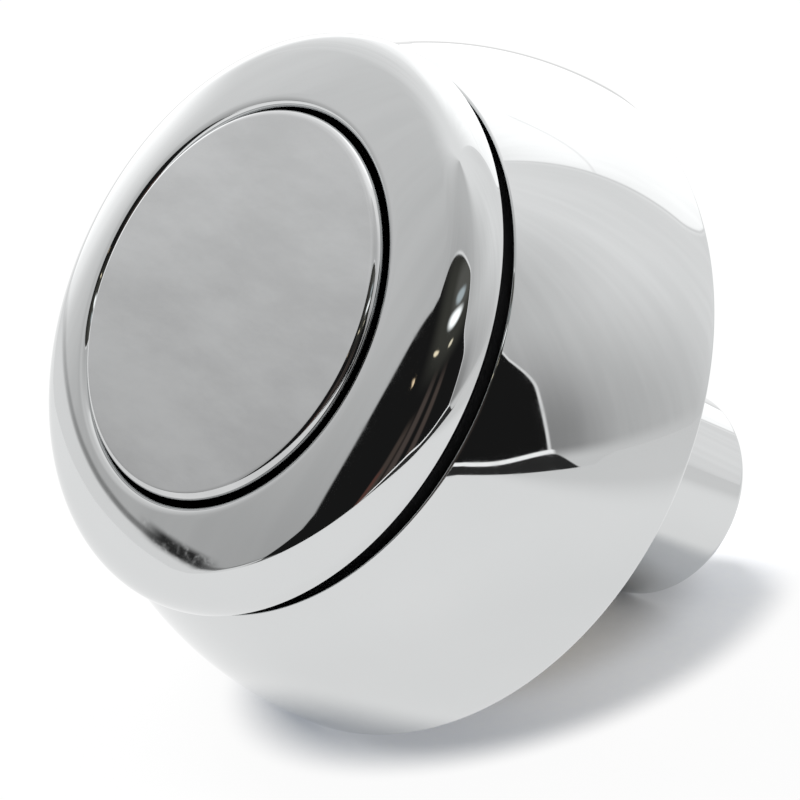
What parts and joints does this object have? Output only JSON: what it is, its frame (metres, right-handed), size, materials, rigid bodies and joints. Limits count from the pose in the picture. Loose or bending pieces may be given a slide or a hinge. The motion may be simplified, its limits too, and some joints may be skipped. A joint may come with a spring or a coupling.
{
  "type": "push button cistern actuator",
  "caption": "Raised chrome push button for a concealed cistern: a round sprung button in a rounded bezel on a flared dome, with an air bellows inside and a chrome tube through the wall.",
  "frame": {"origin": "centre of the dome's rear rim, in the plane of the wall face that the dome stands on", "axes": "+Z along the button's axis, out of the wall towards the button's face; the tube runs along -Z through the wall; X and Y are any two directions square to it"},
  "size_m": [0.0731, 0.0732, 0.0788],
  "materials": {
    "chrome": "mirror-polished plating",
    "button_chrome": "polished plating with a faint haze of wiping marks",
    "black_plastic": "fine moulded grain",
    "white_plastic": "natural moulded, slightly satin",
    "rubber": "matt moulded",
    "bellows_rubber": "matt moulded",
    "spring_steel": "drawn stainless wire and strip",
    "zinc_steel": "bright zinc plated",
    "brass": "turned, slightly dulled"
  },
  "bodies": {
    "base": {"bezel_ring": "chrome", "bezel_seal": "rubber", "dome_cover": "chrome", "base_gasket": "rubber", "inner_housing": "black_plastic", "stop_buffer": "rubber", "bellows": "bellows_rubber", "return_spring": "spring_steel", "air_stem": "white_plastic", "shank_tube": "chrome", "housing_screws": "zinc_steel", "screw_washers": "zinc_steel", "panel_washer": "rubber", "slip_washer": "white_plastic", "back_nut": "brass", "end_plug": "black_plastic", "plug_ring": "rubber", "stem_clip": "spring_steel"},
    "button": {"button_cap": "button_chrome", "button_plunger": "black_plastic"}
  },
  "joints": [
    {"name": "button_press", "type": "slide", "parent": "base", "child": "button", "axis": [0, 0, -1], "range_m": [0, 0.008], "stiffness_N_per_m": 900, "springref_m": -0.005, "deforming": ["bellows", "return_spring"]}
  ]
}
